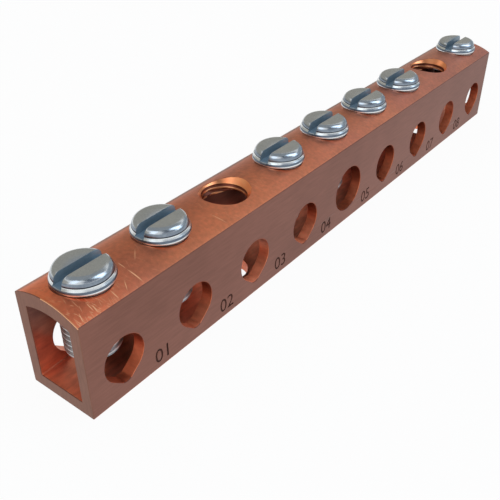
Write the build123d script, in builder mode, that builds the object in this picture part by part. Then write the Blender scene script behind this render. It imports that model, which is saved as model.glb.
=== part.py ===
from build123d import *
from math import acos, cos, degrees, radians, sin, sqrt
import os

# Ground bar: hollow domed copper bar with slotted clamp screws over side ports. Millimetres.
# X runs along the bar, Y across it, Z up. Origin at the middle of the flat underside.

# Bar
pitch = 12.7
positions = 9
end_margin = 5.72
width = 10.8
crown_height = 15.24
dome_rise = 1.31
top_wall = 1.95
floor_wall = 1.85
side_wall = 1.70
hollow_corner = 0.2
edge_break = 0.15

# Ports through both side walls
port_r = 3.175
port_z = 5.61
port_tip_r = 1.2
plain_port_r = 3.86
plain_port_land = 0.05

# Holes through the top wall and the floor
csk_rim_r = 4.05
tap_r = 3.175
mount_hole_r = 3.175
open_positions = [3, 8]
plain_port_position = 5

# Clamp screws
shank_r = 3.60
thread_clearance = 0.05
shank_end_z = 5.2
shank_end_chamfer = 0.25
flange_r = 3.92
flange_edge = 0.15
seat_gap = 0.08
flange_height = 0.64
step_rise = 0.34
drum_r = 3.62
drum_round = 1.0
drum_height = 1.03
slot_width = 1.4
slot_depth = 1.35

# Sizes that follow
length = pitch * (positions - 1) + 2 * end_margin
half_width = width / 2
inner_half = half_width - side_wall
side_height = crown_height - dome_rise
dome_r = (half_width**2 + dome_rise**2) / (2 * dome_rise)
dome_centre_z = crown_height - dome_r
ceiling_r = dome_r - top_wall
ceiling_crown_z = crown_height - top_wall
ceiling_side_z = dome_centre_z + sqrt(ceiling_r**2 - inner_half**2)
bore_r = shank_r + thread_clearance
tip_z = floor_wall + port_tip_r
plain_port_z = floor_wall + hollow_corner + plain_port_land + plain_port_r
cut_past = 1.0
csk_depth = csk_rim_r - tap_r + 0.1
open_x = [(p - (positions + 1) / 2) * pitch for p in open_positions]
screw_positions = [p for p in range(1, positions + 1) if p not in open_positions]
screw_x = {p: (p - (positions + 1) / 2) * pitch for p in screw_positions}
port_positions = [p for p in range(1, positions + 1) if p != plain_port_position]
port_x = [(p - (positions + 1) / 2) * pitch for p in port_positions]
plain_x = (plain_port_position - (positions + 1) / 2) * pitch

# The flange's lower edge sits on the 90 degree countersink, just clear of it
seat_r = flange_r - flange_edge
flange_z = crown_height - (csk_rim_r - seat_r) + seat_gap * sqrt(2)
flange_top_z = flange_z + flange_height
drum_z = flange_top_z + step_rise
head_top_z = drum_z + drum_height
slot_z = head_top_z - slot_depth

# Tangent points of the port's straight flanks, measured from straight down
port_drop = port_z - tip_z
flank = degrees(acos((port_r - port_tip_r) / port_drop))
flank_x = sin(radians(flank))
flank_z = cos(radians(flank))
port_side = (port_r * flank_x, port_z - port_r * flank_z)
tip_side = (port_tip_r * flank_x, tip_z - port_tip_r * flank_z)

with BuildPart() as ground_bar:
    # Outer section: flat underside, straight sides, shallow dome
    with BuildSketch(Plane.YZ.offset(-length / 2)):
        with BuildLine():
            Polyline((-half_width, side_height), (-half_width, 0), (half_width, 0), (half_width, side_height))
            ThreePointArc((half_width, side_height), (0, crown_height), (-half_width, side_height))
        make_face()
        fillet(vertices(), edge_break)
    extrude(amount=length)
    # Hollow right through, ceiling parallel to the dome
    with BuildSketch(Plane.YZ.offset(-length / 2)):
        with BuildLine():
            Polyline(
                (-inner_half, ceiling_side_z),
                (-inner_half, floor_wall),
                (inner_half, floor_wall),
                (inner_half, ceiling_side_z),
            )
            ThreePointArc((inner_half, ceiling_side_z), (0, ceiling_crown_z), (-inner_half, ceiling_side_z))
        make_face()
        fillet(vertices(), hollow_corner)
    extrude(amount=length, mode=Mode.SUBTRACT)
    # Ports with a narrowed lower end
    with BuildSketch(Plane.XZ.offset(-half_width)):
        with Locations([(x, port_z) for x in port_x]):
            Circle(port_r)
        with Locations([(x, tip_z) for x in port_x]):
            Circle(port_tip_r)
        for x in port_x:
            with BuildLine():
                Polyline(
                    (x - port_side[0], port_side[1]),
                    (x - tip_side[0], tip_side[1]),
                    (x + tip_side[0], tip_side[1]),
                    (x + port_side[0], port_side[1]),
                    close=True,
                )
            make_face()
    extrude(amount=width, mode=Mode.SUBTRACT)
    # Middle port is a larger plain hole
    with BuildSketch(Plane.XZ.offset(-half_width)):
        with Locations((plain_x, plain_port_z)):
            Circle(plain_port_r)
    extrude(amount=width, mode=Mode.SUBTRACT)
    # Round holes through the top wall, for the screws and at the open places
    with BuildSketch(Plane.XY.offset(crown_height + cut_past)):
        with Locations([(x, 0) for x in screw_x.values()]):
            Circle(bore_r)
        with Locations([(x, 0) for x in open_x]):
            Circle(tap_r)
    extrude(amount=-(crown_height - ceiling_side_z + 2 * cut_past), mode=Mode.SUBTRACT)
    # Countersinks, 90 degrees, running out through the dome
    with Locations([(x, 0, crown_height - csk_depth) for x in [*screw_x.values(), *open_x]]):
        Cone(
            bottom_radius=csk_rim_r - csk_depth,
            top_radius=csk_rim_r + cut_past,
            height=csk_depth + cut_past,
            align=(Align.CENTER, Align.CENTER, Align.MIN),
            mode=Mode.SUBTRACT,
        )
    # Mounting holes through the floor, under the open places
    with BuildSketch(Plane.XY):
        with Locations([(x, 0) for x in open_x]):
            Circle(mount_hole_r)
    extrude(amount=floor_wall, mode=Mode.SUBTRACT)

ground_bar.part.label = "ground_bar"

os.makedirs("parts", exist_ok=True)
export_step(ground_bar.part, "parts/ground_bar.step")

for p in screw_positions:
    with BuildPart() as clamp_screw:
        # Turned outline: shank, flange, step, drum with a rounded shoulder
        with BuildSketch(Plane.XZ.move(Location((screw_x[p], 0, 0)))):
            with BuildLine():
                Polyline(
                    (0, shank_end_z),
                    (shank_r - shank_end_chamfer, shank_end_z),
                    (shank_r, shank_end_z + shank_end_chamfer),
                    (shank_r, flange_z),
                    (seat_r, flange_z),
                    (flange_r, flange_z + flange_edge),
                    (flange_r, flange_top_z),
                    (drum_r, drum_z),
                    (drum_r, head_top_z - drum_round),
                )
                RadiusArc((drum_r, head_top_z - drum_round), (drum_r - drum_round, head_top_z), -drum_round)
                Polyline((drum_r - drum_round, head_top_z), (0, head_top_z), (0, shank_end_z))
            make_face()
        revolve(axis=Axis((screw_x[p], 0, 0), (0, 0, 1)))
        # Driver slot, open at both ends
        with BuildSketch(Plane((screw_x[p], 0, slot_z))):
            Rectangle(2 * (flange_r + cut_past), slot_width)
        extrude(amount=slot_depth + cut_past, mode=Mode.SUBTRACT)
    clamp_screw.part.label = f"clamp_screw_{p}"
    export_step(clamp_screw.part, f"parts/clamp_screw_{p}.step")
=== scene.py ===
import math

import bpy
from mathutils import Matrix, Vector


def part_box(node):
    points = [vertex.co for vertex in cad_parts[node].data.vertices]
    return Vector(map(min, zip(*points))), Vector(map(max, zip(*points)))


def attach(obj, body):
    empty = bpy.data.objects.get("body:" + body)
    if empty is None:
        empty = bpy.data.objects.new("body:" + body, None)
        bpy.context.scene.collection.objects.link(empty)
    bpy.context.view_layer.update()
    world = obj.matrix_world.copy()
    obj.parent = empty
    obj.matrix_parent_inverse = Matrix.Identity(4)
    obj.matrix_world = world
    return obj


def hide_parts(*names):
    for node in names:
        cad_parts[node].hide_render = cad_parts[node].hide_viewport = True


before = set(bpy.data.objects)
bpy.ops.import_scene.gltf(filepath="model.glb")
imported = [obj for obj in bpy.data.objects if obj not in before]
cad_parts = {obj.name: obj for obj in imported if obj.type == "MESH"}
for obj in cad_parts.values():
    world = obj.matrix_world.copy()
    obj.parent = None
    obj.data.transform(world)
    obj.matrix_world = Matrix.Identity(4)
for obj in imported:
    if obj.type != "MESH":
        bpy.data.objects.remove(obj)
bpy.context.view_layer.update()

MM = 0.001

# The bar's sizes in millimetres, as the solids have them
PITCH = 12.7
PLACES = 9
OPEN_PLACES = (3, 8)
SCREW_PLACES = [p for p in range(1, PLACES + 1) if p not in OPEN_PLACES]
TAP_R = 3.175
FLOOR_Z = 1.85
INNER_HALF = 3.70
DOME_RISE = 1.31
CSK_RIM_R = 4.05
RIM_BREAK = 0.09

# Screw heads and shanks
SHANK_R = 3.60
SHANK_END_Z = 5.2
SHANK_CHAMFER = 0.25
FLANGE_R = 3.92
SEAT_R = 3.77
FLANGE_HEIGHT = 0.64
SEAT_GAP = 0.08
STEP_RISE = 0.34
DRUM_R = 3.62
DRUM_ROUND = 1.0
GROOVE_R = 3.50
GROOVE_HALF = 0.03
LIP_R = 3.95
LIP_RISE = 0.13
LIP_HEIGHT = 0.18
SLOT_WIDTH = 1.4
SLOT_DEPTH = 1.35
HEAD_EDGE = 0.05
HEAD_SIDES = 96
TOP_RING_R = 0.5

# Thread shared by the screws and the open holes
THREAD_PITCH = 0.794
HALF_ANGLE = math.radians(30)
THREAD_FLAT = 0.1
THREAD_STEPS = 64
THREAD_START = 0.75

# Each thread's root, the radius at which its cutter is clear of the metal, and its turns
SCREW_THREAD = (3.17, 3.75, 13)
HOLE_THREAD = (3.62, 3.05, 4)
HOLE_THREAD_ANGLE = 217

# Stamped position numerals between the ports
NUMERAL_SIZE = 3.0
NUMERAL_DEPTH = 0.1
NUMERAL_SHIFT = 6.2
NUMERAL_Z = 1.0
NUMERAL_TOP_Z = 4.5
PORT_REACH = 4.0

# How near a face counts as lying on a surface, in millimetres
HAIR = 0.12
ON_DOME = 0.03
SLIGHT = 0.01
TOUCH = 0.001

# How far below the crown each surface reaches, in millimetres
CONE_DEPTH = 1.1
RIM_HIGHLIGHT_DEPTH = 1.5
CEILING_DEPTH = 1.8
OPEN_DEPTH = 4

# How squarely a face has to look along an axis to count as flat
SQUARE = 0.99

# Edges up to the first angle are shaded smooth, and those past the second are rounded
SMOOTH_ANGLE = math.radians(30)
SHARP_ANGLE = math.radians(40)

# A flat of the bar larger than this, in square millimetres, is shaded as a plane
LARGE_FLAT = 8

# How much of its cell a scattered scratch takes up
CELL_SHARE = 0.7

# The floor lies a hair below the bar, and only shows from above
FLOOR_GAP = 0.02

# The photo's view, fitted to the bar's edges
VIEW_PLACE = (-0.08982, -0.05400, 0.06226)
VIEW_AXIS = Vector((0.65503633, 0.50425009, -0.56272485))
VIEW_RIGHT = Vector((0.61049109, -0.79202259, 0.00091765))
LENS = 50.09
SENSOR = 36

# Sizes that follow
bar_top_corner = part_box("ground_bar")[1]
HALF_LENGTH = bar_top_corner.x / MM
HALF_WIDTH = bar_top_corner.y / MM
CROWN_Z = bar_top_corner.z / MM
HEAD_TOP_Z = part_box("clamp_screw_1")[1].z / MM
DOME_R = (HALF_WIDTH**2 + DOME_RISE**2) / (2 * DOME_RISE)
DOME_CENTRE_Z = CROWN_Z - DOME_R
FLANGE_Z = CROWN_Z - (CSK_RIM_R - SEAT_R) + SEAT_GAP * math.sqrt(2)
LIP_TOP_Z = FLANGE_Z + LIP_RISE + LIP_HEIGHT
FLANGE_TOP_Z = FLANGE_Z + FLANGE_HEIGHT
BAND_TOP_Z = FLANGE_TOP_Z + STEP_RISE
SLOT_Z = HEAD_TOP_Z - SLOT_DEPTH
FIRST_END = -HALF_LENGTH * MM


def place_x(place):
    """A place's distance along the bar, in millimetres."""
    return (place - (PLACES + 1) / 2) * PITCH


# Work on meshes


def activate(piece):
    """Selects one piece and nothing else."""
    for thing in list(bpy.context.selected_objects):
        thing.select_set(False)
    piece.select_set(True)
    bpy.context.view_layer.objects.active = piece


def apply_all(piece):
    """Applies every modifier on a piece, in order."""
    activate(piece)
    for modifier in list(piece.modifiers):
        bpy.ops.object.modifier_apply(modifier=modifier.name)


def move(piece, x, y, z):
    """Moves a piece's mesh, in millimetres."""
    piece.data.transform(Matrix.Translation((x * MM, y * MM, z * MM)))


def smooth(piece):
    """Shades a piece smooth, apart from its sharp edges."""
    activate(piece)
    bpy.ops.object.shade_smooth_by_angle(angle=SMOOTH_ANGLE)


def cut_away(piece, cutter):
    """Takes the cutter's shape out of a piece and removes the cutter."""
    boolean = piece.modifiers.new("cut", "BOOLEAN")
    boolean.operation = "DIFFERENCE"
    boolean.solver = "EXACT"
    boolean.object = cutter
    apply_all(piece)
    bpy.data.objects.remove(cutter)


def merged_copy(node, name):
    """A copy of a solid's mesh with its loose triangles joined."""
    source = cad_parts[node]
    piece = bpy.data.objects.new(name, source.data.copy())
    bpy.context.scene.collection.objects.link(piece)
    activate(piece)
    bpy.ops.object.mode_set(mode="EDIT")
    bpy.ops.mesh.select_all(action="SELECT")
    bpy.ops.mesh.remove_doubles(threshold=1e-7)
    bpy.ops.mesh.dissolve_limited(angle_limit=math.radians(0.2))
    bpy.ops.mesh.normals_make_consistent(inside=False)
    bpy.ops.object.mode_set(mode="OBJECT")
    return piece


def helix(name, thread, high_z, x=0, end_angle=0):
    """A helical cutter: one thread form swept up whole turns around a vertical axis."""
    apex_r, base_r, turns = thread
    low_z = high_z - turns * THREAD_PITCH
    half_apex = THREAD_FLAT / 2
    half_base = half_apex + abs(base_r - apex_r) * math.tan(HALF_ANGLE)
    bpy.ops.mesh.primitive_plane_add(size=1, location=(0, 0, 0))
    cutter = bpy.context.object
    cutter.name = name
    corners = [
        (apex_r, -half_apex),
        (base_r, -half_base),
        (base_r, half_base),
        (apex_r, half_apex),
    ]
    order = [0, 1, 3, 2]
    for vertex, corner in zip([cutter.data.vertices[i] for i in order], corners):
        vertex.co = Vector((corner[0] * MM, 0, (low_z + corner[1]) * MM))
    screw = cutter.modifiers.new("turns", "SCREW")
    screw.axis = "Z"
    screw.angle = 2 * math.pi
    screw.screw_offset = THREAD_PITCH * MM
    screw.iterations = turns
    screw.steps = THREAD_STEPS
    screw.render_steps = THREAD_STEPS
    screw.use_smooth_shade = False
    apply_all(cutter)
    bpy.ops.object.mode_set(mode="EDIT")
    bpy.ops.mesh.select_all(action="SELECT")
    bpy.ops.mesh.remove_doubles(threshold=1e-8)
    bpy.ops.mesh.fill_holes(sides=0)
    bpy.ops.mesh.normals_make_consistent(inside=False)
    bpy.ops.object.mode_set(mode="OBJECT")
    cutter.data.transform(Matrix.Rotation(math.radians(end_angle), 4, "Z"))
    move(cutter, x, 0, 0)
    return cutter


def arc(centre_r, centre_z, radius, start, end, steps):
    """Points of a round corner, angles in degrees from straight out."""
    points = []
    for i in range(steps + 1):
        angle = math.radians(start + (end - start) * i / steps)
        points.append((centre_r + radius * math.cos(angle), centre_z + radius * math.sin(angle)))
    return points


def turned(name, outline):
    """A turned piece: a disc that is drawn up and resized along its outline."""
    first_r, first_z = outline[0]
    bpy.ops.mesh.primitive_circle_add(
        vertices=HEAD_SIDES, radius=first_r * MM, fill_type="NGON", location=(0, 0, 0)
    )
    piece = bpy.context.object
    piece.name = name
    move(piece, 0, 0, first_z)
    activate(piece)
    bpy.ops.object.mode_set(mode="EDIT")
    bpy.ops.mesh.select_all(action="SELECT")
    last_r, last_z = first_r, first_z
    for r, z in outline[1:]:
        rise = (0, 0, (z - last_z) * MM)
        bpy.ops.mesh.extrude_region_move(TRANSFORM_OT_translate={"value": rise})
        ratio = r / last_r
        bpy.ops.transform.resize(value=(ratio, ratio, 1), center_override=(0, 0, z * MM))
        last_r, last_z = r, z
    bpy.ops.mesh.select_all(action="SELECT")
    bpy.ops.mesh.normals_make_consistent(inside=False)
    bpy.ops.object.mode_set(mode="OBJECT")
    return piece


def block(name, low, high):
    """A plain box between two corners, in millimetres, used as a cutter."""
    centre = (Vector(low) + Vector(high)) / 2 * MM
    size = (Vector(high) - Vector(low)) * MM
    bpy.ops.mesh.primitive_cube_add(size=1, location=(0, 0, 0))
    box = bpy.context.object
    box.name = name
    box.data.transform(Matrix.Diagonal((*size, 1)))
    box.data.transform(Matrix.Translation(centre))
    return box


# Where a face of the bar lies


def dome_normal(point):
    """The dome's own direction at a point of it, or None off the dome."""
    out = Vector((0, point.y, point.z - DOME_CENTRE_Z * MM))
    if point.z > 0 and abs(out.length / MM - DOME_R) < ON_DOME:
        return out.normalized()
    return None


def is_outer(face):
    """Whether a face lies on the bar's outside: an end, a side, the underside or the dome."""
    centre = face.center / MM
    normal = face.normal
    if abs(normal.x) > SQUARE or abs(normal.y) > SQUARE or normal.z < -SQUARE:
        return max(abs(centre.x) - HALF_LENGTH, abs(centre.y) - HALF_WIDTH, -centre.z) > -TOUCH
    out = dome_normal(face.center)
    return out is not None and normal.dot(out) > SQUARE


def over_open_place(centre, reach=CSK_RIM_R + RIM_BREAK):
    """Whether a point lies in the countersink or the thread of an open place."""
    across = [math.hypot(centre.x - place_x(place), centre.y) for place in OPEN_PLACES]
    return min(across) < reach and centre.z > CROWN_Z - OPEN_DEPTH


def far_from_ports(centre):
    """Whether a point of the side lies between two ports, where the numerals are."""
    gaps = [abs(centre.x - place_x(place)) for place in range(1, PLACES + 1)]
    return min(gaps) > PORT_REACH


def hole_normals(point):
    """The bore's and the cone's own directions at a point of an open hole."""
    place = min(OPEN_PLACES, key=lambda place: abs(point.x / MM - place_x(place)))
    inward = Vector((place_x(place) * MM - point.x, -point.y, 0)).normalized()
    return inward, (inward + Vector((0, 0, 1))).normalized()


# The bar's edges, numerals and shading


def break_rims(piece):
    """Takes the sharpness off the bar's outer rims, as deburring does."""
    mesh = piece.data
    activate(piece)
    bpy.ops.object.mode_set(mode="EDIT")
    bpy.ops.mesh.select_mode(type="EDGE")
    bpy.ops.mesh.select_all(action="DESELECT")
    bpy.ops.object.mode_set(mode="OBJECT")
    faces_at = {}
    for face in mesh.polygons:
        for key in face.edge_keys:
            faces_at.setdefault(key, []).append(face)
    for edge in mesh.edges:
        pair = faces_at.get(edge.key, [])
        if len(pair) == 2 and pair[0].normal.angle(pair[1].normal) > SHARP_ANGLE:
            edge.select = any(is_outer(face) for face in pair)
    bpy.ops.object.mode_set(mode="EDIT")
    bpy.ops.mesh.bevel(offset=RIM_BREAK * MM, segments=2, clamp_overlap=False)
    bpy.ops.object.mode_set(mode="OBJECT")


def numeral(place):
    """A shallow stamped position number between two ports, as a cutter."""
    bpy.ops.object.text_add(location=(0, 0, 0))
    text = bpy.context.object
    text.data.body = f"{place:02d}"
    text.data.size = NUMERAL_SIZE * MM
    text.data.extrude = NUMERAL_DEPTH * MM
    text.data.align_x = "CENTER"
    activate(text)
    bpy.ops.object.convert(target="MESH")
    stamp = bpy.context.object
    stamp.name = f"stamp_{place}"
    stamp.data.transform(Matrix.Rotation(math.radians(90), 4, "X"))
    move(stamp, place_x(place) + NUMERAL_SHIFT, -HALF_WIDTH, NUMERAL_Z)
    return stamp


def true_normals(piece):
    """Shades the dome, flats and open holes by their own directions, so long faces stay even."""
    smooth(piece)
    mesh = piece.data
    flats = {}
    for face in mesh.polygons:
        if face.area > LARGE_FLAT * MM * MM and dome_normal(face.center) is None:
            for vertex in face.vertices:
                flats.setdefault(vertex, []).append(face.normal.copy())
    near = math.cos(math.radians(35))
    close = math.cos(math.radians(7))
    normals = [corner.vector.copy() for corner in mesh.corner_normals]
    for face in mesh.polygons:
        in_hole = over_open_place(face.center / MM)
        for corner in face.loop_indices:
            vertex = mesh.loops[corner].vertex_index
            point = mesh.vertices[vertex].co
            choices = list(flats.get(vertex, []))
            out = dome_normal(point)
            if out is not None:
                choices.append(out)
            for choice in choices:
                if choice.dot(face.normal) > near:
                    normals[corner] = choice
            for choice in hole_normals(point) if in_hole else ():
                if choice.dot(face.normal) > close:
                    normals[corner] = choice
    mesh.normals_split_custom_set(normals)


# The screw


def screw_pattern():
    """One clamp screw on the middle axis: shank, flange, band, drum, slot and thread."""
    # Radius and height of each corner, from the shank's end up
    outline = [
        (SHANK_R - SHANK_CHAMFER, SHANK_END_Z),
        (SHANK_R, SHANK_END_Z + SHANK_CHAMFER),
        (SHANK_R, FLANGE_Z),
        (SEAT_R, FLANGE_Z),
        (LIP_R, FLANGE_Z + LIP_RISE),
        (LIP_R - 0.025, LIP_TOP_Z),
        (LIP_R - 0.045, LIP_TOP_Z + 0.14),
        (LIP_R - 0.07, FLANGE_TOP_Z - 0.07),
        (LIP_R - 0.09, FLANGE_TOP_Z - 0.02),
        (DRUM_R + 0.07, FLANGE_TOP_Z + 0.18),
        (DRUM_R + 0.03, BAND_TOP_Z - 0.02),
        (DRUM_R, BAND_TOP_Z),
    ]
    shoulder = (DRUM_R - DRUM_ROUND, HEAD_TOP_Z - DRUM_ROUND, DRUM_ROUND)
    outline += arc(*shoulder, start=4, end=90, steps=14)
    outline += [(TOP_RING_R, HEAD_TOP_Z)]
    piece = turned("screw_pattern", outline)
    slot = block(
        "slot_cutter",
        (-FLANGE_R - 1, -SLOT_WIDTH / 2, SLOT_Z),
        (FLANGE_R + 1, SLOT_WIDTH / 2, HEAD_TOP_Z + 1),
    )
    cut_away(piece, slot)
    bevel = piece.modifiers.new("edges", "BEVEL")
    bevel.width = HEAD_EDGE * MM
    bevel.segments = 2
    bevel.limit_method = "ANGLE"
    bevel.angle_limit = SHARP_ANGLE
    apply_all(piece)
    groove = (BAND_TOP_Z - GROOVE_HALF, BAND_TOP_Z + GROOVE_HALF)
    ring = turned("ring", [(FLANGE_R, z) for z in groove])
    core = turned("core", [(GROOVE_R, BAND_TOP_Z - 1), (GROOVE_R, BAND_TOP_Z + 1)])
    cut_away(ring, core)
    cut_away(piece, ring)
    cut_away(piece, helix("screw_thread", SCREW_THREAD, FLANGE_Z - THREAD_START))
    return piece


# Materials


class Nodes:
    """Adds nodes and links to one node tree."""

    def __init__(self, tree):
        self.tree = tree

    def add(self, kind, **values):
        """A node whose settings and plain inputs are given by name."""
        node = self.tree.nodes.new(kind)
        for name, value in values.items():
            if hasattr(node, name):
                setattr(node, name, value)
            else:
                node.inputs[name.replace("_", " ")].default_value = value
        return node

    def feed(self, socket, value):
        """Gives an input a number, a colour or another node's output."""
        if isinstance(value, bpy.types.NodeSocket):
            self.tree.links.new(value, socket)
        else:
            socket.default_value = value

    def math(self, operation, first, second):
        node = self.add("ShaderNodeMath", operation=operation)
        self.feed(node.inputs[0], first)
        self.feed(node.inputs[1], second)
        return node.outputs[0]

    def times(self, first, second):
        return self.math("MULTIPLY", first, second)

    def range(self, value, low, high, start=0.0, end=1.0):
        """Maps low..high to start..end with soft ends."""
        node = self.add("ShaderNodeMapRange", interpolation_type="SMOOTHSTEP")
        settings = {"From Min": low, "From Max": high, "To Min": start, "To Max": end}
        for name, setting in settings.items():
            node.inputs[name].default_value = setting
        self.feed(node.inputs["Value"], value)
        return node.outputs[0]

    def below(self, value, low, high):
        """One up to low, then softly down to nought at high."""
        return self.range(value, low, high, 1.0, 0.0)

    def mix(self, amount, first, second, mode="MIX"):
        """Mixes two colours."""
        node = self.add("ShaderNodeMix", data_type="RGBA", blend_type=mode)
        self.feed(node.inputs[0], amount)
        self.feed(node.inputs[6], first)
        self.feed(node.inputs[7], second)
        return node.outputs[2]

    def tint(self, colour, red, green, blue):
        """A colour with its parts multiplied."""
        return self.mix(1.0, colour, (red, green, blue, 1), "MULTIPLY")

    def ramp(self, value, stops):
        """Turns a value into a colour, from (position, colour) stops."""
        node = self.add("ShaderNodeValToRGB")
        elements = node.color_ramp.elements
        while len(elements) < len(stops):
            elements.new(0.5)
        for element, (position, colour) in zip(elements, stops):
            element.position = position
            element.color = (*colour, 1)
        self.feed(node.inputs["Fac"], value)
        return node.outputs["Color"]

    def axes(self, place):
        """A place's X, Y and Z."""
        split = self.add("ShaderNodeSeparateXYZ")
        self.feed(split.inputs[0], place)
        return split.outputs["X"], split.outputs["Y"], split.outputs["Z"]

    def length(self, vector):
        node = self.add("ShaderNodeVectorMath", operation="LENGTH")
        self.feed(node.inputs[0], vector)
        return node.outputs["Value"]

    def mapped(self, place, kind="POINT", **settings):
        """A place moved, turned or scaled by a Mapping node."""
        mapping = self.add("ShaderNodeMapping", vector_type=kind)
        for name, value in settings.items():
            mapping.inputs[name].default_value = value
        self.feed(mapping.inputs["Vector"], place)
        return mapping.outputs[0]

    def grain(self, place, fineness, detail=4.0):
        """Noise with its own fineness along X, Y and Z, per metre."""
        noise = self.add("ShaderNodeTexNoise", Scale=1.0, Detail=detail)
        self.feed(noise.inputs["Vector"], self.mapped(place, Scale=fineness))
        return noise.outputs["Fac"]

    def clouds(self, place, fineness, detail):
        """Noise that is alike in all directions."""
        return self.grain(place, (fineness, fineness, fineness), detail)

    def lines(self, place, angle, length, width, share):
        """Scattered straight scratches at an angle to the bar's length, in millimetres."""
        turned_place = self.mapped(
            place,
            kind="TEXTURE",
            Rotation=(0, 0, math.radians(angle)),
            Scale=(length * MM / CELL_SHARE, width * MM / CELL_SHARE, 1),
        )
        cells = self.add("ShaderNodeTexVoronoi", voronoi_dimensions="2D", Scale=1.0)
        self.feed(cells.inputs["Vector"], turned_place)
        line = self.below(cells.outputs["Distance"], 0.12, 0.4)
        split = self.add("ShaderNodeSeparateColor")
        self.feed(split.inputs[0], cells.outputs["Color"])
        return self.times(line, self.math("LESS_THAN", split.outputs[0], share))

    def scratch(self, place, x, y, angle, length, width):
        """One tapered scratch on the top, centred at x, y, in millimetres."""
        turned_place = self.mapped(
            place,
            kind="TEXTURE",
            Location=(x * MM, y * MM, 0),
            Rotation=(0, 0, math.radians(angle)),
            Scale=(length * MM / 2, width * MM / 2, 1),
        )
        return self.below(self.length(turned_place), 0.4, 1.0)

    def strongest(self, masks):
        most = masks[0]
        for mask in masks[1:]:
            most = self.math("MAXIMUM", most, mask)
        return most


def metal(name, roughness):
    """A bare metal shader wired to the output, with its texture coordinates."""
    material = bpy.data.materials.new(name)
    material.use_nodes = True
    nodes = Nodes(material.node_tree)
    nodes.tree.nodes.clear()
    output = nodes.add("ShaderNodeOutputMaterial")
    shader = nodes.add("ShaderNodeBsdfPrincipled", Metallic=1.0, Roughness=roughness)
    nodes.feed(output.inputs["Surface"], shader.outputs[0])
    coordinates = nodes.add("ShaderNodeTexCoord")
    return material, nodes, shader, coordinates.outputs["Object"]


def colour_by(nodes, shader, colour):
    nodes.feed(shader.inputs["Base Color"], colour)


def dull_by(nodes, shader, mask, share):
    """Takes a share of the mirror away from a metal where a mask is."""
    nodes.feed(shader.inputs["Metallic"], nodes.math("SUBTRACT", 1.0, nodes.times(mask, share)))


def relief(nodes, shader, height, strength):
    """A fine surface relief, a hundredth of a millimetre deep."""
    bump = nodes.add("ShaderNodeBump", Strength=strength, Distance=0.01 * MM)
    nodes.feed(bump.inputs["Height"], height)
    nodes.feed(shader.inputs["Normal"], bump.outputs[0])


def plain_metal(name, dark, light, roughness, fineness, broad, strength, bare=1.0):
    """Metal with a fine grain and broad clouds between two tones."""
    material, nodes, shader, place = metal(name, roughness)
    shader.inputs["Metallic"].default_value = bare
    fine = nodes.grain(place, fineness)
    tone = nodes.mix(0.5, fine, nodes.clouds(place, broad, 2.0))
    colour_by(nodes, shader, nodes.ramp(tone, [(0.35, dark), (0.65, light)]))
    relief(nodes, shader, fine, strength)
    return material


def hollow_wall():
    """Inside the bar: red copper, with painted shade under the ceiling, and painted light low down
    and at the first end, where light falls in through the open end.
    """
    material, nodes, shader, place = metal("copper_hollow", 0.42)
    fine = nodes.grain(place, (300, 1500, 1500))
    clouds = nodes.clouds(place, 500, 3.0)
    tone = nodes.mix(0.5, fine, clouds)
    ground = nodes.ramp(tone, [(0.3, (0.40, 0.13, 0.085)), (0.7, (0.78, 0.27, 0.165))])
    x, _, z = nodes.axes(place)
    by_end = nodes.below(x, FIRST_END, (4 - HALF_LENGTH) * MM)
    height = nodes.math("ADD", z, nodes.times(clouds, 3 * MM))
    # Painted shade on the upper wall under the ceiling; by the first end it is painted lighter and
    # greyer, where light falls in
    painted_ceiling_shade = nodes.tint(ground, 0.45, 0.50, 0.56)
    painted_end_light_above = nodes.tint(ground, 0.70, 0.95, 1.15)
    upper = nodes.mix(by_end, painted_ceiling_shade, painted_end_light_above)
    wall = nodes.mix(nodes.range(height, 9 * MM, 13 * MM), ground, upper)
    # Painted light on the floor and the lowest part of the walls
    painted_bright = nodes.tint(ground, 1.35, 1.4, 1.4)
    wall = nodes.mix(nodes.below(z, 2.0 * MM, 3.0 * MM), wall, painted_bright)
    # Painted light, warmer and brighter, low down by the first end, where the metal is also made
    # less mirror-like
    warm = nodes.tint(ground, 1.40, 1.05, 0.80)
    swept = nodes.times(by_end, nodes.below(z, 2.0 * MM, 7.0 * MM))
    colour_by(nodes, shader, nodes.mix(swept, wall, warm))
    dull_by(nodes, shader, swept, 0.6)
    relief(nodes, shader, fine, 0.3)
    return material


def port_wall():
    """Cut walls of the ports: painted light low down on the front walls of some ports, and painted
    shade higher up.
    """
    material, nodes, shader, place = metal("copper_cut", 0.48)
    fine = nodes.grain(place, (1500, 700, 1500))
    clouds = nodes.clouds(place, 400, 2.0)
    tone = nodes.mix(0.5, fine, clouds)
    ground = nodes.ramp(tone, [(0.35, (0.60, 0.165, 0.08)), (0.65, (0.92, 0.29, 0.145))])
    x, y, z = nodes.axes(place)
    height = nodes.math("ADD", z, nodes.times(clouds, 2 * MM))
    low = nodes.below(height, 3.2 * MM, 6.8 * MM)
    front = nodes.math("LESS_THAN", y, 0.0)
    past_first = nodes.range(x, -4.0 * PITCH * MM, -2.0 * PITCH * MM)
    before_middle = nodes.below(x, -1.0 * PITCH * MM, 0.0)
    # Painted light low down on the front walls of the ports around the third and fourth places
    painted_light_mask = nodes.times(nodes.times(low, front), nodes.times(past_first, before_middle))
    # Painted shade on the upper part of the walls
    painted_shade_above = nodes.tint(ground, 0.46, 0.44, 0.46)
    wall = nodes.mix(nodes.range(height, 5.2 * MM, 8.6 * MM), ground, painted_shade_above)
    bright = nodes.tint(ground, 1.25, 1.30, 1.35)
    colour_by(nodes, shader, nodes.mix(painted_light_mask, wall, bright))
    dull_by(nodes, shader, painted_light_mask, 0.6)
    relief(nodes, shader, fine, 0.4)
    return material


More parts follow.
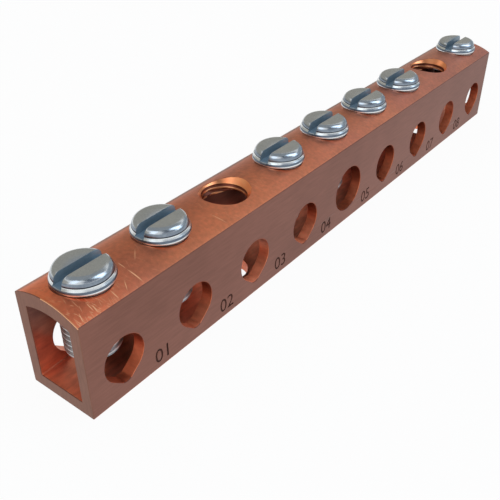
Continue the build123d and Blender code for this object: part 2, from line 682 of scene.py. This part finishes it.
def threaded_hole():
    """Open holes: bright crests, with painted shade that darkens them towards the thread's root."""
    material, nodes, shader, place = metal("copper_thread", 0.30)
    reaches = [
        nodes.length(nodes.mapped(place, Location=(-place_x(hole) * MM, 0, 0), Scale=(1, 1, 0)))
        for hole in OPEN_PLACES
    ]
    reach = nodes.math("MINIMUM", *reaches)
    # Painted shade: darker from the crests towards the thread's root
    painted_root_shade = nodes.range(reach, TAP_R * MM, (TAP_R + 0.18) * MM)
    colour_by(nodes, shader, nodes.mix(painted_root_shade, (1.0, 0.43, 0.20, 1), (0.17, 0.05, 0.03, 1)))
    return material


# Fine scratches all over the top: angle, length, width and share of cells that hold one
FINE_SCRATCHES = (
    (84, 2.6, 0.05, 0.012),
    (97, 3.4, 0.05, 0.008),
    (110, 1.8, 0.05, 0.010),
    (66, 1.8, 0.05, 0.008),
    (132, 1.4, 0.05, 0.006),
)

# Crowded scratches near the first end, the same way
CROWDED_SCRATCHES = (
    (86, 1.6, 0.08, 0.10),
    (99, 1.4, 0.08, 0.10),
    (72, 1.1, 0.07, 0.10),
    (120, 0.5, 0.10, 0.10),
)

# The deepest scratches on the top: x, y, angle, length and width
DEEP_SCRATCHES = (
    (-46.5, -3.9, -85, 2.8, 0.20),
    (-50.3, -4.5, -88, 1.6, 0.16),
    (-53.6, -4.1, -92, 1.5, 0.14),
    (-53.3, -4.6, -95, 1.4, 0.18),
    (-55.3, -4.6, -110, 1.4, 0.14),
    (-46.6, -1.8, -91, 1.7, 0.12),
    (-48.4, -4.3, -121, 1.6, 0.12),
    (-44.1, -1.5, -135, 2.6, 0.08),
    (-31.1, -3.6, -75, 3.0, 0.10),
)


def worn_ground(nodes, place, x, y, fine):
    """The top's copper: soft patches, redder by the first end, and darker and greyer along the far
    edge.
    """
    clouds = nodes.clouds(place, 260, 3.0)
    patches = nodes.clouds(place, 70, 1.0)
    warm = nodes.ramp(patches, [(0.35, (0.74, 0.245, 0.135)), (0.65, (0.82, 0.27, 0.13))])
    wear = nodes.mix(0.45, fine, clouds)
    worn = nodes.ramp(wear, [(0.3, (0.76, 0.77, 0.80)), (0.7, (1.12, 1.08, 1.05))])
    ground = nodes.mix(1.0, warm, worn, "MULTIPLY")
    along = nodes.range(x, FIRST_END + PITCH * MM, -FIRST_END)
    ground = nodes.mix(along, ground, nodes.tint(ground, 0.92, 1.08, 1.35))
    by_first = nodes.below(x, FIRST_END, FIRST_END + PITCH * MM)
    ground = nodes.mix(by_first, ground, nodes.tint(ground, 1.32, 1.08, 0.94))
    # Darker and greyer along the far edge
    edge = nodes.math("ADD", y, nodes.times(clouds, 1 * MM))
    far_edge_dark = nodes.range(edge, 4.6 * MM, 5.7 * MM)
    return nodes.mix(far_edge_dark, ground, nodes.tint(ground, 0.42, 0.50, 0.52))


def scratched_top():
    """The top: warm copper with bright scratches, most of them near the first end."""
    material, nodes, shader, place = metal("copper_top", 0.40)
    fine = nodes.clouds(place, 1700, 4.0)
    x, y, _ = nodes.axes(place)
    ground = worn_ground(nodes, place, x, y, fine)
    by_first = nodes.below(x, FIRST_END, FIRST_END + PITCH * MM)
    near_half = nodes.range(y, -2.8 * MM, 0.2 * MM, 1.0, 0.2)
    everywhere = nodes.strongest([nodes.lines(place, *row) for row in FINE_SCRATCHES])
    crowded = nodes.strongest([nodes.lines(place, *row) for row in CROWDED_SCRATCHES])
    deep = nodes.strongest([nodes.scratch(place, *row) for row in DEEP_SCRATCHES])
    crowded = nodes.times(crowded, nodes.times(by_first, near_half))
    marks = nodes.math("MAXIMUM", nodes.times(everywhere, 0.45), crowded)
    shown = nodes.math("MAXIMUM", nodes.times(marks, 0.8), deep)
    colour_by(nodes, shader, nodes.mix(shown, ground, (1.0, 0.51, 0.25, 1)))
    dull_by(nodes, shader, shown, 0.85)
    relief(nodes, shader, nodes.math("SUBTRACT", fine, shown), 0.12)
    return material


# Plain finishes: name, dark and light tone, roughness, the grain's fineness along X, Y and Z,
# the clouds' fineness, the grain's relief, and the share of bare metal where it isn't one
PLAIN_FINISHES = {
    "side": (
        "copper_side", (0.225, 0.103, 0.078), (0.285, 0.131, 0.100),
        0.5, (300, 900, 3200), 90, 0.25,
    ),
    "end": (
        "copper_end", (0.21, 0.10, 0.07), (0.28, 0.135, 0.095),
        0.5, (900, 3000, 600), 90, 0.25,
    ),
    # A painted highlight on the ends' rounded upper rims, on the near half
    "rim": (
        "copper_rim", (0.95, 0.42, 0.20), (1.0, 0.52, 0.28),
        0.35, (900, 900, 900), 200, 0.2,
    ),
    "cone": (
        "copper_cone", (1.0, 0.32, 0.13), (1.0, 0.42, 0.19),
        0.30, (700, 700, 2500), 300, 0.25,
    ),
    "stamp": (
        "stamp_shade", (0.08, 0.036, 0.028), (0.12, 0.052, 0.04),
        0.6, (900, 900, 900), 90, 0.1,
    ),
    "shank": (
        "zinc_shank", (0.42, 0.43, 0.44), (0.58, 0.59, 0.60),
        0.42, (1500, 1500, 1500), 300, 0.2,
    ),
    "zinc": (
        "zinc_plate", (0.53, 0.57, 0.60), (0.61, 0.65, 0.68),
        0.22, (3500, 3500, 3500), 500, 0.16,
    ),
    # Painted shade: the drum's shoulder is a darker blue-grey, on which the lamps' highlights show
    "shoulder": (
        "zinc_shoulder", (0.20, 0.24, 0.29), (0.29, 0.34, 0.40),
        0.31, (4000, 4000, 4000), 700, 0.35,
    ),
    # A painted highlight: the band under the drum is near white
    "band": (
        "zinc_band", (0.70, 0.74, 0.75), (0.82, 0.86, 0.87),
        0.26, (1500, 1500, 1500), 300, 0.1,
    ),
    # Painted shade: the flange's side is dark blue-grey, standing in for the dark surroundings it
    # reflects
    "flank": (
        "zinc_flank", (0.12, 0.15, 0.20), (0.16, 0.20, 0.25),
        0.30, (1500, 1500, 1500), 300, 0.08,
    ),
    # Painted shade: near black in the groove and at the drum's foot
    "crevice": (
        "zinc_crevice", (0.03, 0.04, 0.06), (0.04, 0.05, 0.07),
        0.5, (900, 900, 900), 300, 0.05,
    ),
    "shade": (
        "zinc_shade", (0.20, 0.28, 0.34), (0.25, 0.34, 0.41),
        0.40, (1500, 1500, 1500), 300, 0.08, 0.5,
    ),
}

materials = {key: plain_metal(*row) for key, row in PLAIN_FINISHES.items()}
materials["top"] = scratched_top()
materials["cut"] = port_wall()
materials["thread"] = threaded_hole()
materials["hollow"] = hollow_wall()


# Which finish each face takes

BAR_FINISHES = ("top", "side", "end", "rim", "cut", "cone", "thread", "hollow", "stamp")
SCREW_FINISHES = ("zinc", "shoulder", "band", "shade", "flank", "crevice", "shank")


def finish(piece, finishes, choose):
    """Gives each face of a piece the finish that is chosen for it."""
    mesh = piece.data
    mesh.materials.clear()
    for key in finishes:
        mesh.materials.append(materials[key])
    for face in mesh.polygons:
        face.material_index = finishes.index(choose(face))


def bar_finish(face):
    """A bar face's finish, by where it lies and faces."""
    centre = face.center / MM
    normal = face.normal
    if is_outer(face):
        if normal.z > 0.8:
            return "top"
        return "end" if abs(normal.x) > 0.9 else "side"
    # A few thin faces of the dome lie folded face down, and still take its finish
    if normal.z < -0.8 and dome_normal(face.center) is not None:
        return "top"
    if abs(centre.x) > HALF_LENGTH - HAIR:
        # On the near half, near the crown, the ends' rounded rims take a painted highlight
        near_top = centre.z > CROWN_Z - RIM_HIGHLIGHT_DEPTH
        painted_bright = near_top and centre.y < 0.6 and abs(normal.x) < 0.95
        return "rim" if painted_bright else "end"
    stamped = SLIGHT < HALF_WIDTH + centre.y < NUMERAL_DEPTH + SLIGHT
    if stamped and centre.z < NUMERAL_TOP_Z and far_from_ports(centre):
        return "stamp"
    by_side = abs(centre.y) > HALF_WIDTH - HAIR
    if by_side and -0.2 < normal.z < SQUARE and abs(normal.x) < 0.5:
        return "side"
    between_walls = abs(centre.y) < INNER_HALF + HAIR and abs(normal.x) < 0.1
    if between_walls and FLOOR_Z - HAIR < centre.z < CROWN_Z - CEILING_DEPTH:
        return "hollow"
    if over_open_place(centre):
        if normal.z > 0.85 and not over_open_place(centre, CSK_RIM_R - 0.5):
            return "top"
        sloped = normal.z > 0.5 and centre.z > CROWN_Z - CONE_DEPTH
        return "cone" if sloped else "thread"
    return "cut"


def screw_finish(face):
    """Zinc all over, with a painted highlight on the band, and painted shade in the slot, the
    groove, on the flange and low on the shoulder.
    """
    centre = face.center / MM
    reach = math.hypot(centre.x, centre.y)
    if abs(centre.y) < SLOT_WIDTH / 2 + SLIGHT and SLOT_Z - SLIGHT < centre.z < HEAD_TOP_Z - 0.06:
        return "shade"
    if centre.z < FLANGE_Z - SLIGHT:
        return "shank"
    # Painted shade in the groove under the drum
    if 1 < reach < DRUM_R - 0.02 and abs(centre.z - BAND_TOP_Z) < GROOVE_HALF + 0.005:
        return "crevice"
    if reach > 1:
        # The flange's side takes painted shade
        if LIP_TOP_Z < centre.z < FLANGE_TOP_Z - 0.03:
            return "flank"
        # Painted shade at the drum's foot, just above the groove
        if BAND_TOP_Z < centre.z < BAND_TOP_Z + 0.10:
            return "crevice"
        # Below the groove, the band takes a painted highlight
        if centre.z < BAND_TOP_Z:
            return "band"
    # The drum's shoulder below the flat top takes painted shade
    return "shoulder" if centre.z < HEAD_TOP_Z - 0.5 else "zinc"


# The bar and its screws

bar = merged_copy("ground_bar", "copper_bar")
break_rims(bar)
for place in OPEN_PLACES:
    thread_z = CROWN_Z - THREAD_START
    cut_away(bar, helix("hole_thread", HOLE_THREAD, thread_z, place_x(place), HOLE_THREAD_ANGLE))
for place in range(1, PLACES):
    cut_away(bar, numeral(place))
finish(bar, BAR_FINISHES, bar_finish)
true_normals(bar)
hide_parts("ground_bar")
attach(bar, "bar")

pattern = screw_pattern()
finish(pattern, SCREW_FINISHES, screw_finish)
for place in SCREW_PLACES:
    screw = bpy.data.objects.new(f"slotted_screw_{place}", pattern.data.copy())
    bpy.context.scene.collection.objects.link(screw)
    move(screw, place_x(place), 0, 0)
    smooth(screw)
    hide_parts(f"clamp_screw_{place}")
    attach(screw, f"screw_{place}")
bpy.data.objects.remove(pattern)


# The studio


def seen_directly(nodes):
    """One for camera, glossy and transmission rays, nought for the rest."""
    path = nodes.add("ShaderNodeLightPath")
    kinds = ("Camera", "Glossy", "Transmission")
    return nodes.strongest([path.outputs[f"Is {kind} Ray"] for kind in kinds])


def from_bar(azimuth, height, distance):
    """A place at an azimuth and a height angle from the bar, in degrees and metres."""
    across = distance * math.cos(math.radians(height))
    return (
        across * math.cos(math.radians(azimuth)),
        across * math.sin(math.radians(azimuth)),
        distance * math.sin(math.radians(height)),
    )


def aim(thing, where):
    """Puts a lamp or a card at a place and turns it to the bar."""
    turn = (Vector((0, 0, 0.01)) - Vector(where)).to_track_quat("-Z", "Y")
    thing.location = where
    thing.rotation_euler = turn.to_euler()


def glowing(name, colour):
    """A material with a plain glow that isn't wired to its output yet."""
    material = bpy.data.materials.new(name)
    material.use_nodes = True
    nodes = Nodes(material.node_tree)
    nodes.tree.nodes.clear()
    output = nodes.add("ShaderNodeOutputMaterial")
    glow = nodes.add("ShaderNodeEmission", Color=(*colour, 1), Strength=1.0)
    return material, nodes, output, glow


def card(name, where, width, height, colour):
    """A plain card that only shows as a reflection in the metal."""
    bpy.ops.mesh.primitive_plane_add(size=1, location=(0, 0, 0))
    sheet = bpy.context.object
    sheet.name = name
    sheet.scale = (width, height, 1)
    aim(sheet, where)
    material, nodes, output, glow = glowing(name, colour)
    nodes.feed(output.inputs["Surface"], glow.outputs[0])
    sheet.data.materials.append(material)
    sheet.visible_camera = False
    sheet.visible_shadow = False
    sheet.visible_diffuse = False


def window(name, where, width, height, power, colour):
    """A soft lamp that is turned to the bar."""
    data = bpy.data.lights.new(name, "AREA")
    data.shape = "RECTANGLE"
    data.size = width
    data.size_y = height
    data.energy = power
    data.color = colour
    lamp = bpy.data.objects.new(name, data)
    bpy.context.scene.collection.objects.link(lamp)
    aim(lamp, where)


def mixed(nodes, amount, first, second):
    """Mixes two shaders."""
    mix = nodes.add("ShaderNodeMixShader")
    nodes.feed(mix.inputs[0], amount)
    nodes.feed(mix.inputs[1], first.outputs[0])
    nodes.feed(mix.inputs[2], second.outputs[0])
    return mix


def white_floor():
    """A white floor that keeps the bar's shadow and is clear from below."""
    bpy.ops.mesh.primitive_plane_add(size=4, location=(0, 0, 0))
    floor = bpy.context.object
    floor.name = "floor"
    move(floor, 0, 0, -FLOOR_GAP)
    material, nodes, output, glow = glowing("white_floor", (1, 1, 1))
    diffuse = nodes.add("ShaderNodeBsdfDiffuse", Color=(0.9, 0.9, 0.9, 1))
    upper = mixed(nodes, nodes.times(seen_directly(nodes), 0.95), diffuse, glow)
    clear = nodes.add("ShaderNodeBsdfTransparent")
    from_below = nodes.add("ShaderNodeNewGeometry").outputs["Backfacing"]
    sided = mixed(nodes, from_below, upper, clear)
    nodes.feed(output.inputs["Surface"], sided.outputs[0])
    floor.data.materials.append(material)


def white_world():
    """Plain soft light all round, and a white background."""
    world = bpy.data.worlds.new("studio")
    bpy.context.scene.world = world
    world.use_nodes = True
    nodes = Nodes(world.node_tree)
    background = world.node_tree.nodes["Background"]
    background.inputs["Color"].default_value = (1, 1, 1, 1)
    strength = nodes.range(seen_directly(nodes), 0.0, 1.0, 0.6, 1.0)
    nodes.feed(background.inputs["Strength"], strength)


def photo_camera():
    """The camera at the photo's viewing angle."""
    up = VIEW_RIGHT.cross(VIEW_AXIS)
    data = bpy.data.cameras.new("photo_view")
    data.sensor_width = SENSOR
    data.lens = LENS
    data.clip_start = 0.005
    camera = bpy.data.objects.new("photo_view", data)
    bpy.context.scene.collection.objects.link(camera)
    turn = Matrix((VIEW_RIGHT, up, -VIEW_AXIS)).transposed().to_4x4()
    camera.matrix_world = Matrix.Translation(VIEW_PLACE) @ turn
    bpy.context.scene.camera = camera


bpy.context.scene.view_settings.view_transform = "Standard"
white_world()
white_floor()

# Cards: where they stand, width and height in metres, and grey
card("far_card", from_bar(62, 22, 1.4), 3.0, 1.32, (0.40, 0.38, 0.335))
card("left_card", from_bar(142, 22, 1.4), 1.8, 1.32, (0.42, 0.40, 0.36))
card("right_card", from_bar(-25, 18, 1.4), 2.2, 0.88, (0.32, 0.36, 0.40))
card("near_card", from_bar(-98, 38, 1.4), 1.5, 0.70, (0.24, 0.27, 0.33))
card("overhead_card", (0.24, 0.10, 1.6), 2.2, 2.2, (0.32, 0.34, 0.36))
card("between_card", from_bar(-107, 58, 1.2), 0.44, 0.60, (0.10, 0.12, 0.15))

# Lamps: where they stand, width and height in metres, watts, and colour
window("left_window", from_bar(-170, 46, 1.0), 0.34, 0.70, 0.7, (0.58, 0.76, 1.0))
window("right_window", from_bar(-54, 44, 1.0), 0.44, 0.90, 2.5, (0.62, 0.79, 1.0))

photo_camera()
